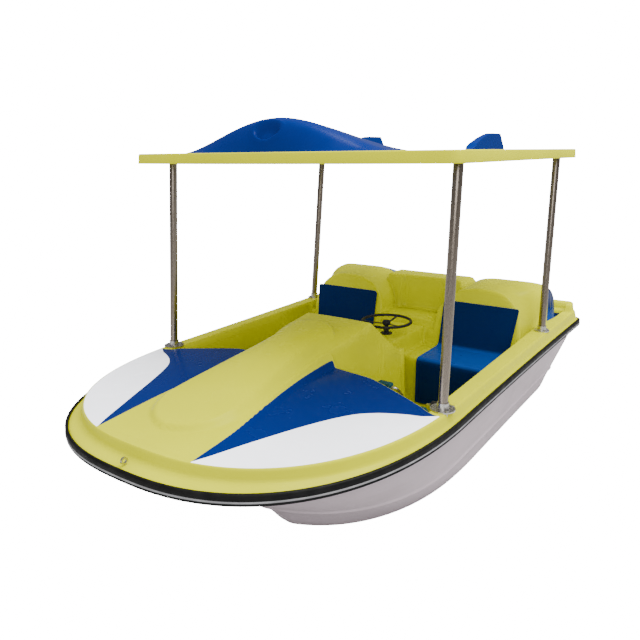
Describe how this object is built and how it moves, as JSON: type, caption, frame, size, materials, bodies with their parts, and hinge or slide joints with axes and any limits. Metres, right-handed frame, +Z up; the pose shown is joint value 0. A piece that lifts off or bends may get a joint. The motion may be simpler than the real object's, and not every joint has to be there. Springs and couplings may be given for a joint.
{
  "type": "pedal boat",
  "caption": "Fibreglass pedal boat with a hard roof on posts, a hooded paddle wheel, crank pedals, a steering wheel with a linked rudder, and front and rear seats.",
  "frame": {"origin": "on the ground under the middle of the boat's bounding box", "axes": "+X to port, -Y to the bow, +Z up"},
  "size_m": [1.898, 3.1899, 1.782],
  "materials": {
    "gelcoat_hull": "off-white gelcoat with a faint lilac cast",
    "gelcoat_yellow": "glossy yellow gelcoat",
    "gelcoat_blue": "glossy blue gelcoat",
    "gelcoat_navy": "dark blue gelcoat",
    "rail_rubber": "black rubber fender",
    "rail_strip": "grey insert strip",
    "stainless": "brushed stainless steel",
    "pedal_plastic": "dark teal moulded plastic",
    "bearing_plastic": "black moulded plastic",
    "wheel_black": "black plastic rim",
    "paddle_aluminium": "mill-finish aluminium",
    "brass": "dull brass"
  },
  "bodies": {
    "boat": {"hull_shell": "gelcoat_hull", "paddle_tunnel": "gelcoat_hull", "rub_rail": "rail_rubber", "rail_insert": "rail_strip", "foredeck": "gelcoat_yellow", "stern_deck": "gelcoat_yellow", "side_deck_port": "gelcoat_yellow", "side_deck_starboard": "gelcoat_yellow", "cockpit_liner_port": "gelcoat_yellow", "cockpit_liner_starboard": "gelcoat_yellow", "wheel_hood": "gelcoat_yellow", "centre_console": "gelcoat_yellow", "centre_alcove": "gelcoat_yellow", "backrest_hump_port": "gelcoat_yellow", "backrest_hump_starboard": "gelcoat_yellow", "canopy_shell": "gelcoat_yellow", "rear_bench": "gelcoat_blue", "canopy_dome": "gelcoat_blue", "canopy_scoop_port": "gelcoat_blue", "canopy_scoop_starboard": "gelcoat_blue", "front_seat_port": "gelcoat_navy", "front_seat_starboard": "gelcoat_navy", "rear_seat_port": "gelcoat_navy", "rear_seat_starboard": "gelcoat_navy", "post_front_port": "stainless", "post_front_starboard": "stainless", "post_rear_port": "stainless", "post_rear_starboard": "stainless", "post_base_flanges": "stainless", "post_top_flanges": "stainless", "flange_bolts": "stainless", "bow_eye": "stainless", "inner_bearing_port": "bearing_plastic", "inner_bearing_starboard": "bearing_plastic", "outer_bearing_port": "bearing_plastic", "outer_bearing_starboard": "bearing_plastic", "column_bush": "bearing_plastic", "rudder_tube": "bearing_plastic", "drain_plug": "brass"},
    "crank": {"crankshaft": "stainless", "paddle_hub": "paddle_aluminium", "paddle_discs": "paddle_aluminium", "paddle_blades": "paddle_aluminium"},
    "pedal_inner_port_body": {"pedal_inner_port": "pedal_plastic"},
    "pedal_outer_port_body": {"pedal_outer_port": "pedal_plastic"},
    "pedal_inner_starboard_body": {"pedal_inner_starboard": "pedal_plastic"},
    "pedal_outer_starboard_body": {"pedal_outer_starboard": "pedal_plastic"},
    "steering": {"steering_wheel": "wheel_black", "steering_column": "stainless", "steering_arm": "stainless"},
    "push_rod_body": {"push_rod": "stainless"},
    "rudder": {"tiller_arm": "stainless", "rudder_stock": "stainless", "rudder_blade": "paddle_aluminium"}
  },
  "joints": [
    {"name": "crank_turn", "type": "hinge", "parent": "boat", "child": "crank", "pos_m": [0, -0.048, 0.335], "axis": [1, 0, 0], "continuous": true},
    {"name": "pedal_inner_port_spin", "type": "hinge", "parent": "crank", "child": "pedal_inner_port_body", "pos_m": [0.337, -0.13992, 0.42692], "axis": [1, 0, 0], "continuous": true},
    {"name": "pedal_outer_port_spin", "type": "hinge", "parent": "crank", "child": "pedal_outer_port_body", "pos_m": [0.471, 0.04392, 0.24308], "axis": [1, 0, 0], "continuous": true},
    {"name": "pedal_inner_starboard_spin", "type": "hinge", "parent": "crank", "child": "pedal_inner_starboard_body", "pos_m": [-0.337, 0.04392, 0.24308], "axis": [1, 0, 0], "continuous": true},
    {"name": "pedal_outer_starboard_spin", "type": "hinge", "parent": "crank", "child": "pedal_outer_starboard_body", "pos_m": [-0.471, -0.13992, 0.42692], "axis": [1, 0, 0], "continuous": true},
    {"name": "wheel_turn", "type": "hinge", "parent": "boat", "child": "steering", "pos_m": [0, 0.485, 0.5], "axis": [0, 0, 1], "range_deg": [-40, 40]},
    {"name": "rod_swing", "type": "hinge", "parent": "steering", "child": "push_rod_body", "pos_m": [0.09, 0.485, 0.466], "axis": [0, 0, 1], "range_deg": [-40, 40]},
    {"name": "rudder_turn", "type": "hinge", "parent": "boat", "child": "rudder", "pos_m": [0, 1.44, 0.3], "axis": [0, 0, 1], "range_deg": [-40, 40]}
  ],
  "couplings": [
    {"joint": "rod_swing", "follows": "wheel_turn", "ratio": -1},
    {"joint": "rudder_turn", "follows": "wheel_turn", "ratio": 1}
  ]
}
